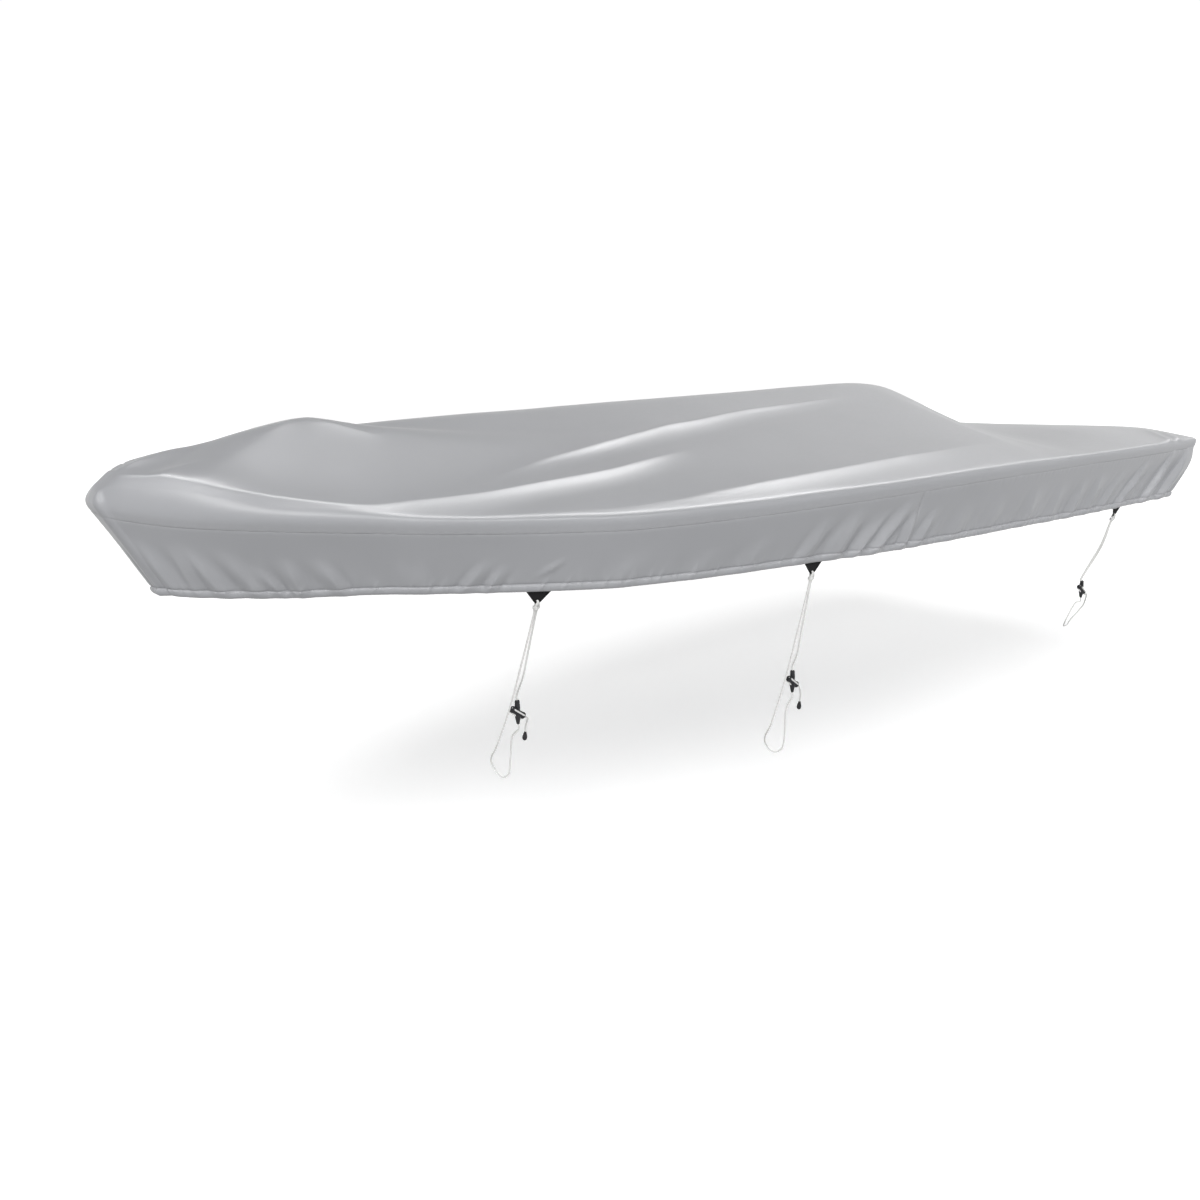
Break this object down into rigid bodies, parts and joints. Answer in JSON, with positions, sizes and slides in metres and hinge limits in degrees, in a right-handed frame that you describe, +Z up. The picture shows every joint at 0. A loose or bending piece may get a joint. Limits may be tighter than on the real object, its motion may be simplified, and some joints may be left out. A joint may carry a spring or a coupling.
{
  "type": "boat cover",
  "caption": "Fitted silver-grey cover for a small open boat, tented over a low ridge, with a skirt, hem tie tabs and cord tie-downs with cord locks.",
  "frame": {"origin": "on the underside of the top panel, on the centreline at mid-length, where the boat's support holds the cover up", "axes": "+X along the cover towards the stern, +Z up, -Y towards the port side, which has the ties"},
  "size_m": [4.4919, 1.784, 1.2366],
  "materials": {
    "cover_cloth": "satin",
    "webbing": "matte",
    "tie_cord": "matte",
    "hard_plastic": "satin"
  },
  "bodies": {
    "root": {"skirt_bow": "cover_cloth", "skirt_port": "cover_cloth", "skirt_starboard": "cover_cloth", "skirt_stern": "cover_cloth", "tab_port_1": "webbing", "tab_port_2": "webbing", "tab_port_3": "webbing", "tab_starboard_1": "webbing", "tab_starboard_2": "webbing", "tab_starboard_3": "webbing", "tie_1_cleat": "hard_plastic", "tie_1_knot": "tie_cord", "tie_1_leg": "tie_cord", "tie_1_loop": "tie_cord", "tie_1_tail": "tie_cord", "tie_1_toggle": "hard_plastic", "tie_2_cleat": "hard_plastic", "tie_2_knot": "tie_cord", "tie_2_leg": "tie_cord", "tie_2_loop": "tie_cord", "tie_2_tail": "tie_cord", "tie_2_toggle": "hard_plastic", "tie_3_cleat": "hard_plastic", "tie_3_knot": "tie_cord", "tie_3_leg_aft": "tie_cord", "tie_3_leg_fore": "tie_cord", "tie_3_loop": "tie_cord", "top_panel": "cover_cloth"}
  },
  "joints": []
}
